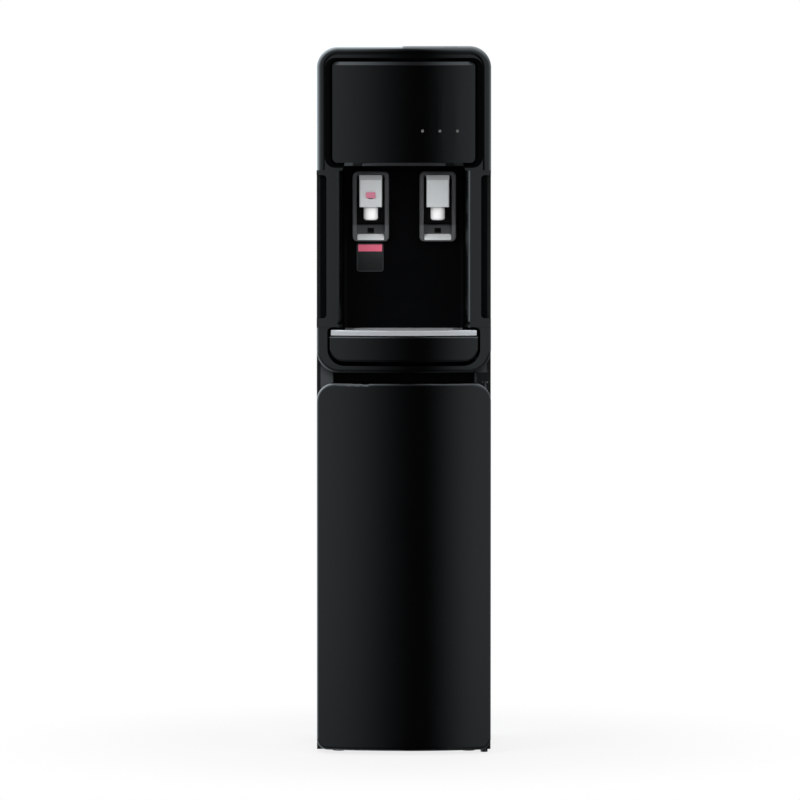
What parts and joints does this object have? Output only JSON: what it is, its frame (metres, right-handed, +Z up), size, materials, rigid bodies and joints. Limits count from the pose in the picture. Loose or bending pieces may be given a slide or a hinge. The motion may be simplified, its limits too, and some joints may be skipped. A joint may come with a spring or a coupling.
{
  "type": "bottom load water cooler",
  "caption": "Tall slim black water cooler with a bowed front, a two tap niche over a drip tray, and a hinged door to the bottle bay below.",
  "frame": {"origin": "on the floor, under the middle of the whole object", "axes": "+Z up, the front faces -Y, +X to the right of somebody who faces the front"},
  "size_m": [0.29, 0.36, 1.178],
  "materials": {
    "gloss_black_shell": "high gloss black moulding",
    "satin_black_moulding": "satin black moulding",
    "black_coated_sheet": "semi-gloss black coated steel sheet",
    "zinc_sheet": "galvanised steel sheet",
    "foot_rubber": "black rubber",
    "magnet_black": "matte black",
    "indicator_clear": "clear light pipe",
    "circuit_board": "green circuit board",
    "tap_trim_grey": "dark grey moulding",
    "lever_grey": "grey moulding",
    "lock_red": "red moulding",
    "tap_white": "white food grade moulding",
    "nozzle_white": "white gloss moulding",
    "pin_steel": "turned stainless steel",
    "grille_steel": "pressed stainless steel",
    "bay_grey": "grey moulding",
    "compressor_black": "black painted steel",
    "condenser_black": "black painted steel",
    "pump_white": "white moulding",
    "tank_steel": "stainless steel",
    "foam_white": "white foam",
    "silicone_hose": "translucent silicone",
    "probe_white": "white food grade moulding",
    "drain_grey": "grey moulding",
    "switch_black": "black moulding",
    "rocker_red": "red moulding",
    "rocker_green": "green moulding"
  },
  "bodies": {
    "cabinet": {"base_tray": "satin_black_moulding", "feet": "foot_rubber", "side_panel_left": "black_coated_sheet", "side_panel_right": "black_coated_sheet", "rear_panel": "zinc_sheet", "top_cover": "satin_black_moulding", "front_frame": "satin_black_moulding", "door_frame": "satin_black_moulding", "front_bezel": "gloss_black_shell", "upper_panel": "gloss_black_shell", "indicator_lenses": "indicator_clear", "display_board": "circuit_board", "niche_liner": "satin_black_moulding", "hot_tap_trim": "tap_trim_grey", "cold_tap_trim": "tap_trim_grey", "hot_tap_body": "tap_white", "cold_tap_body": "tap_white", "hot_nozzle": "nozzle_white", "cold_nozzle": "nozzle_white", "hot_lever_pin": "pin_steel", "cold_lever_pin": "pin_steel", "upper_hinge": "black_coated_sheet", "lower_hinge": "black_coated_sheet", "door_magnet": "magnet_black", "bay_liner": "bay_grey", "machine_shelf": "zinc_sheet", "tank_shelf": "zinc_sheet", "compressor": "compressor_black", "water_pump": "pump_white", "hot_tank": "tank_steel", "hot_insulation": "foam_white", "cold_tank": "tank_steel", "cold_insulation": "foam_white", "hot_line": "silicone_hose", "cold_line": "silicone_hose", "supply_hose": "silicone_hose", "drain_pipe": "drain_grey", "condenser": "condenser_black", "switch_plate": "switch_black", "power_inlet": "switch_black", "control_board": "circuit_board"},
    "door": {"door_skin": "gloss_black_shell", "door_liner": "satin_black_moulding", "strike_plate": "zinc_sheet"},
    "hot_lever": {"hot_lever": "lever_grey"},
    "cold_lever": {"cold_lever": "lever_grey"},
    "child_lock": {"child_lock_slider": "lock_red"},
    "hot_stem": {"hot_valve_stem": "pin_steel"},
    "cold_stem": {"cold_valve_stem": "pin_steel"},
    "drip_tray": {"drip_tray": "gloss_black_shell"},
    "drip_grille": {"drip_grille": "grille_steel"},
    "probe": {"probe_cap": "probe_white", "dip_tube": "probe_white", "probe_hose": "silicone_hose"},
    "drain_cap": {"drain_cap": "drain_grey"},
    "hot_switch": {"hot_switch": "rocker_red"},
    "cold_switch": {"cold_switch": "rocker_green"}
  },
  "joints": [
    {"name": "door_hinge", "type": "hinge", "parent": "cabinet", "child": "door", "pos_m": [0.134, -0.135, 0.317], "axis": [0, 0, 1], "range_deg": [0, 95]},
    {"name": "drip_tray_slide", "type": "slide", "parent": "cabinet", "child": "drip_tray", "axis": [0, -1, 0], "range_m": [0, 0.09]},
    {"name": "grille_lift", "type": "slide", "parent": "drip_tray", "child": "drip_grille", "axis": [0, 0, 1], "range_m": [0, 0.03]},
    {"name": "hot_lever_hinge", "type": "hinge", "parent": "cabinet", "child": "hot_lever", "pos_m": [-0.0552, -0.084, 0.957], "axis": [1, 0, 0], "range_deg": [0, 10], "stiffness_Nm_per_rad": 0.6, "springref_deg": -5.73},
    {"name": "cold_lever_hinge", "type": "hinge", "parent": "cabinet", "child": "cold_lever", "pos_m": [0.0568, -0.084, 0.957], "axis": [1, 0, 0], "range_deg": [0, 10], "stiffness_Nm_per_rad": 0.6, "springref_deg": -5.73},
    {"name": "hot_stem_slide", "type": "slide", "parent": "cabinet", "child": "hot_stem", "axis": [0, 1, 0], "range_m": [0, 0.0075]},
    {"name": "cold_stem_slide", "type": "slide", "parent": "cabinet", "child": "cold_stem", "axis": [0, 1, 0], "range_m": [0, 0.0075]},
    {"name": "child_lock_slide", "type": "slide", "parent": "hot_lever", "child": "child_lock", "axis": [0, 0, -1], "range_m": [0, 0.0035], "stiffness_N_per_m": 150, "springref_m": -0.002},
    {"name": "probe_lift", "type": "slide", "parent": "cabinet", "child": "probe", "axis": [0, 0, 1], "range_m": [0, 0.025]},
    {"name": "drain_cap_pull", "type": "slide", "parent": "cabinet", "child": "drain_cap", "axis": [0, 1, 0], "range_m": [0, 0.02]},
    {"name": "hot_switch_rock", "type": "hinge", "parent": "cabinet", "child": "hot_switch", "pos_m": [-0.017, 0.15, 1.098], "axis": [-1, 0, 0], "range_deg": [0, 20]},
    {"name": "cold_switch_rock", "type": "hinge", "parent": "cabinet", "child": "cold_switch", "pos_m": [0.017, 0.15, 1.098], "axis": [-1, 0, 0], "range_deg": [0, 20]}
  ],
  "couplings": [
    {"joint": "hot_stem_slide", "follows": "hot_lever_hinge", "m_per_rad": 0.0424},
    {"joint": "cold_stem_slide", "follows": "cold_lever_hinge", "m_per_rad": 0.0424}
  ]
}
